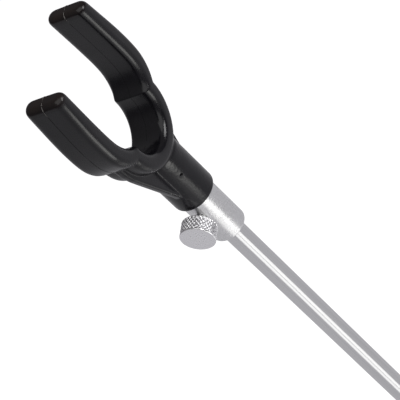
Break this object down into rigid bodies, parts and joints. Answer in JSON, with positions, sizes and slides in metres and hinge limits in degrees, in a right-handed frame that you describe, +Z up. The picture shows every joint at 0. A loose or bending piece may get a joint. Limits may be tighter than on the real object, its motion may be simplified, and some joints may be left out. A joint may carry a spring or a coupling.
{
  "type": "telescopic rod holder",
  "caption": "Telescopic ground-stick rod holder: black moulded U rest on a slim aluminium stick with a knurled thumbscrew clamp and a turned ground spike.",
  "frame": {"origin": "point of the ground spike, on the stick's axis", "axes": "+Z up the stick towards the rest, X from prong to prong with the thumbscrew on -X, Y the depth of the rest"},
  "size_m": [0.0666, 0.0232, 0.4998],
  "materials": {
    "black_moulding": "black moulded plastic, semi-gloss with a fine grain",
    "brass_insert": "turned brass",
    "stud_aluminium": "turned",
    "inner_tube_aluminium": "drawn, bright",
    "plug_aluminium": "turned",
    "slide_nylon": "natural nylon",
    "outer_tube_aluminium": "drawn, brushed along its length",
    "collar_satin_aluminium": "satin, bead blasted",
    "bush_nylon": "black nylon",
    "spike_turned_aluminium": "turned and drawn bright",
    "knob_satin_aluminium": "satin face, diamond-knurled rim",
    "screw_zinc_steel": "zinc plated",
    "pad_nylon": "natural nylon"
  },
  "bodies": {
    "stick": {"outer_tube": "outer_tube_aluminium", "collar": "collar_satin_aluminium", "collar_bush": "bush_nylon", "ground_spike": "spike_turned_aluminium"},
    "slider": {"slide_bush": "slide_nylon"},
    "rest": {"inner_tube": "inner_tube_aluminium", "inner_end_plug": "plug_aluminium", "head_stud": "stud_aluminium", "socket_insert": "brass_insert", "rod_rest_head": "black_moulding"},
    "screw_pad": {"thrust_pad": "pad_nylon"},
    "thumbscrew": {"thumb_knob": "knob_satin_aluminium", "thumb_screw": "screw_zinc_steel"}
  },
  "joints": [
    {"name": "telescope", "type": "slide", "parent": "stick", "child": "slider", "axis": [0, 0, 1], "range_m": [0, 0.3]},
    {"name": "rest_swivel", "type": "hinge", "parent": "slider", "child": "rest", "pos_m": [0, 0, 0.389], "axis": [0, 0, 1], "continuous": true},
    {"name": "screw_travel", "type": "slide", "parent": "stick", "child": "screw_pad", "axis": [-1, 0, 0], "range_m": [0, 0.0017]},
    {"name": "thumbscrew_turn", "type": "hinge", "parent": "screw_pad", "child": "thumbscrew", "pos_m": [0, 0, 0.3804], "axis": [-1, 0, 0], "range_deg": [0, 720]}
  ],
  "couplings": [
    {"joint": "screw_travel", "follows": "thumbscrew_turn", "m_per_rad": 0.00012732}
  ]
}
